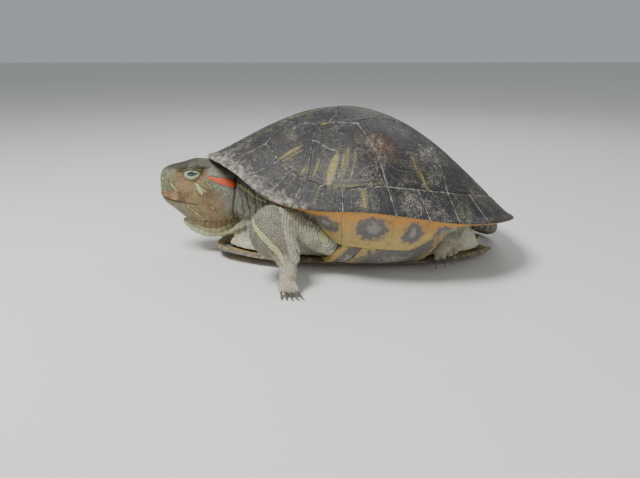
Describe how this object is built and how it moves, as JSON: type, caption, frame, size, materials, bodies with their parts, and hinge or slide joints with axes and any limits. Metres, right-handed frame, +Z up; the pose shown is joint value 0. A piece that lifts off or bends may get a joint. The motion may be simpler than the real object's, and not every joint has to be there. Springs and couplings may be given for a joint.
{
  "type": "red-eared slider turtle model",
  "caption": "Life-size still model of a red-eared slider turtle resting on its underside and feet, head half drawn in, one foreleg forward.",
  "frame": {"origin": "bottom centre of the bounding box, on the floor under the middle of the animal", "axes": "+X to the animal's left side, +Y from its head to its tail, +Z up"},
  "size_m": [0.186, 0.2299, 0.0959],
  "materials": {
    "carapace_scute": "dry, worn dark horn with fine growth lines, faded ochre streaks and pale dust in the seams",
    "rim_scute": "dark worn horn above, orange and yellow with dark rings beneath",
    "plastron_scute": "smooth yellow horn with large dark smudges",
    "eye": "wet, clear and glossy, pale green iris crossed by a dark bar",
    "head_skin": "smooth leathery skin, dark olive with thin pale green stripes and a red stripe behind the eye",
    "jaw_skin": "horny beak edge and smooth skin, olive with yellow-green stripes",
    "throat_skin": "loose soft skin, cream with short dark cross lines",
    "neck_skin": "folded finely pebbled skin, blue-grey with thin yellow stripes",
    "tail_skin": "scaly dark skin with thin yellow stripes",
    "limb_skin": "finely scaled dark grey-olive skin with pale yellow-green stripes",
    "foot_skin": "dusty beige scaled skin with horn-coloured claws"
  },
  "bodies": {
    "root": {"abdominal_plates": "plastron_scute", "anal_plates": "plastron_scute", "costal_left_1": "carapace_scute", "costal_left_2": "carapace_scute", "costal_left_3": "carapace_scute", "costal_left_4": "carapace_scute", "costal_right_1": "carapace_scute", "costal_right_2": "carapace_scute", "costal_right_3": "carapace_scute", "costal_right_4": "carapace_scute", "eye_left": "eye", "eye_right": "eye", "femoral_plates": "plastron_scute", "gular_plates": "plastron_scute", "head": "head_skin", "humeral_plates": "plastron_scute", "left_forefoot": "foot_skin", "left_foreleg": "limb_skin", "left_hind_foot": "foot_skin", "left_hind_leg": "limb_skin", "lower_jaw": "jaw_skin", "marginal_left_1": "rim_scute", "marginal_left_10": "rim_scute", "marginal_left_11": "rim_scute", "marginal_left_12": "rim_scute", "marginal_left_2": "rim_scute", "marginal_left_3": "rim_scute", "marginal_left_4": "rim_scute", "marginal_left_5": "rim_scute", "marginal_left_6": "rim_scute", "marginal_left_7": "rim_scute", "marginal_left_8": "rim_scute", "marginal_left_9": "rim_scute", "marginal_right_1": "rim_scute", "marginal_right_10": "rim_scute", "marginal_right_11": "rim_scute", "marginal_right_12": "rim_scute", "marginal_right_2": "rim_scute", "marginal_right_3": "rim_scute", "marginal_right_4": "rim_scute", "marginal_right_5": "rim_scute", "marginal_right_6": "rim_scute", "marginal_right_7": "rim_scute", "marginal_right_8": "rim_scute", "marginal_right_9": "rim_scute", "neck": "neck_skin", "nuchal": "rim_scute", "pectoral_plates": "plastron_scute", "right_forefoot": "foot_skin", "right_foreleg": "limb_skin", "right_hind_foot": "foot_skin", "right_hind_leg": "limb_skin", "tail": "tail_skin", "throat_fold": "throat_skin", "trunk": "limb_skin", "vertebral_1": "carapace_scute", "vertebral_2": "carapace_scute", "vertebral_3": "carapace_scute", "vertebral_4": "carapace_scute", "vertebral_5": "carapace_scute"}
  },
  "joints": []
}
